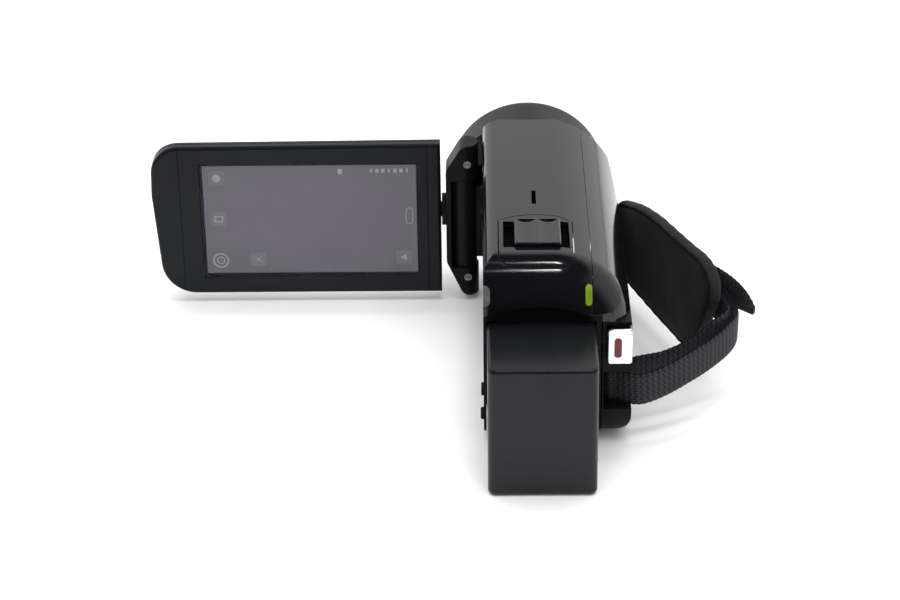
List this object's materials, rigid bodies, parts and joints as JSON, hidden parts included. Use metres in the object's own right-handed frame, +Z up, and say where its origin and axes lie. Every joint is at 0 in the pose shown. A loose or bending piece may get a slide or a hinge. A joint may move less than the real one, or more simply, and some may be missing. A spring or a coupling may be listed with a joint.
{
  "type": "camcorder",
  "caption": "Compact camcorder with a fold-out tilting side screen, removable rear battery, sliding lens cover, zoom lever and padded hand strap.",
  "frame": {"origin": "mouth of the tripod socket in the flat base", "axes": "+Z up, +Y towards the lens, +X towards the hand strap"},
  "size_m": [0.1825, 0.1406, 0.0586],
  "materials": {
    "graphite_gloss": "gloss",
    "black_gloss": "high gloss",
    "black_matte": "matte",
    "battery_plastic": "satin",
    "screen_plastic": "matte",
    "screen_panel": "glossy",
    "display_module": "dim lit display",
    "chrome_trim": "polished",
    "red_mark": "gloss",
    "lamp_clear": "frosted",
    "lamp_green": "lit",
    "steel": "bright",
    "brass": "machined",
    "gold_contacts": "plated",
    "circuit_board": "solder mask",
    "lens_glass": "coated",
    "alloy": "cast",
    "nylon_webbing": "ribbed weave",
    "pad_fabric": "suede-like"
  },
  "bodies": {
    "housing": {"left_shell": "black_matte", "top_panel": "graphite_gloss", "right_shell": "graphite_gloss", "grip_cover": "black_matte", "base_cover": "black_matte", "access_lamp": "lamp_clear", "power_lamp": "lamp_green", "battery_bay": "black_matte", "battery_contacts": "gold_contacts", "nose_shell": "graphite_gloss", "lens_ring": "black_gloss", "zoom_surround": "graphite_gloss", "zoom_board": "circuit_board", "lens_barrel": "black_matte", "front_lens": "lens_glass", "sensor_board": "circuit_board", "image_sensor": "circuit_board", "main_board": "circuit_board", "key_board": "circuit_board", "jack_board": "circuit_board", "memory_card": "black_matte", "card_socket": "black_matte", "chassis": "alloy", "speaker": "black_matte", "microphone": "black_matte", "tripod_socket": "brass", "base_screws": "steel", "rear_strap_post": "steel", "rear_strap_bracket": "black_matte", "front_strap_post": "steel", "front_strap_bracket": "black_matte", "strap_pad": "pad_fabric", "rear_strap": "nylon_webbing", "front_strap": "nylon_webbing", "hinge_base": "black_matte", "swing_pin": "steel"},
    "hinge": {"hinge_block": "black_matte", "hinge_cover": "black_matte", "hinge_screws": "steel", "tilt_shaft": "black_matte"},
    "screen": {"screen_frame": "screen_plastic", "screen_cover": "screen_plastic", "screen_board": "circuit_board", "screen_glass": "screen_panel", "screen_display": "display_module"},
    "zoom_lever": {"zoom_lever": "graphite_gloss"},
    "start_button": {"start_button": "chrome_trim", "start_mark": "red_mark"},
    "power_button": {"power_button": "black_matte"},
    "mode_button": {"mode_button": "black_matte"},
    "battery": {"battery": "battery_plastic"},
    "battery_latch": {"battery_latch": "black_matte"},
    "cover_knob": {"cover_knob": "black_matte"},
    "upper_blade": {"upper_blade": "black_matte"},
    "lower_blade": {"lower_blade": "black_matte"},
    "terminal_cover": {"terminal_cover": "black_matte"},
    "card_cover": {"card_cover": "black_matte"},
    "zoom_group": {"zoom_group": "lens_glass"},
    "focus_group": {"focus_group": "lens_glass"}
  },
  "joints": [
    {"name": "screen_swing", "type": "hinge", "parent": "housing", "child": "hinge", "pos_m": [-0.0199, 0.0342, 0.03], "axis": [0, 0, 1], "range_deg": [0, 90]},
    {"name": "screen_tilt", "type": "hinge", "parent": "hinge", "child": "screen", "pos_m": [-0.0272, 0.0342, 0.03], "axis": [1, 0, 0], "range_deg": [-90, 180]},
    {"name": "zoom_slide", "type": "slide", "parent": "housing", "child": "zoom_lever", "axis": [1, 0, 0], "range_m": [-0.0023, 0.0023], "stiffness_N_per_m": 250},
    {"name": "start_press", "type": "slide", "parent": "housing", "child": "start_button", "axis": [0, 1, 0], "range_m": [0, 0.0006], "stiffness_N_per_m": 700},
    {"name": "power_press", "type": "slide", "parent": "housing", "child": "power_button", "axis": [1, 0, 0], "range_m": [0, 0.00035], "stiffness_N_per_m": 900},
    {"name": "mode_press", "type": "slide", "parent": "housing", "child": "mode_button", "axis": [1, 0, 0], "range_m": [0, 0.00035], "stiffness_N_per_m": 900},
    {"name": "battery_slide", "type": "slide", "parent": "housing", "child": "battery", "axis": [0, -1, 0], "range_m": [0, 0.021]},
    {"name": "latch_slide", "type": "slide", "parent": "housing", "child": "battery_latch", "axis": [0, 1, 0], "range_m": [0, 0.003], "stiffness_N_per_m": 120},
    {"name": "lens_cover_slide", "type": "slide", "parent": "housing", "child": "cover_knob", "axis": [0, 0, -1], "range_m": [0, 0.005]},
    {"name": "upper_blade_slide", "type": "slide", "parent": "housing", "child": "upper_blade", "axis": [0, 0, -1], "range_m": [0, 0.0082]},
    {"name": "lower_blade_slide", "type": "slide", "parent": "housing", "child": "lower_blade", "axis": [0, 0, 1], "range_m": [0, 0.0082]},
    {"name": "terminal_cover_open", "type": "hinge", "parent": "housing", "child": "terminal_cover", "pos_m": [-0.0139, 0.012, 0.0071], "axis": [0, 1, 0], "range_deg": [-95, 0]},
    {"name": "card_cover_open", "type": "hinge", "parent": "housing", "child": "card_cover", "pos_m": [-0.0139, -0.024, 0.0049], "axis": [0, 1, 0], "range_deg": [-95, 0]},
    {"name": "zoom_group_travel", "type": "slide", "parent": "housing", "child": "zoom_group", "axis": [0, 1, 0], "range_m": [-0.006, 0.008]},
    {"name": "focus_group_travel", "type": "slide", "parent": "housing", "child": "focus_group", "axis": [0, 1, 0], "range_m": [-0.004, 0.002]}
  ],
  "couplings": [
    {"joint": "upper_blade_slide", "follows": "lens_cover_slide", "ratio": 1.64},
    {"joint": "lower_blade_slide", "follows": "lens_cover_slide", "ratio": 1.64}
  ]
}
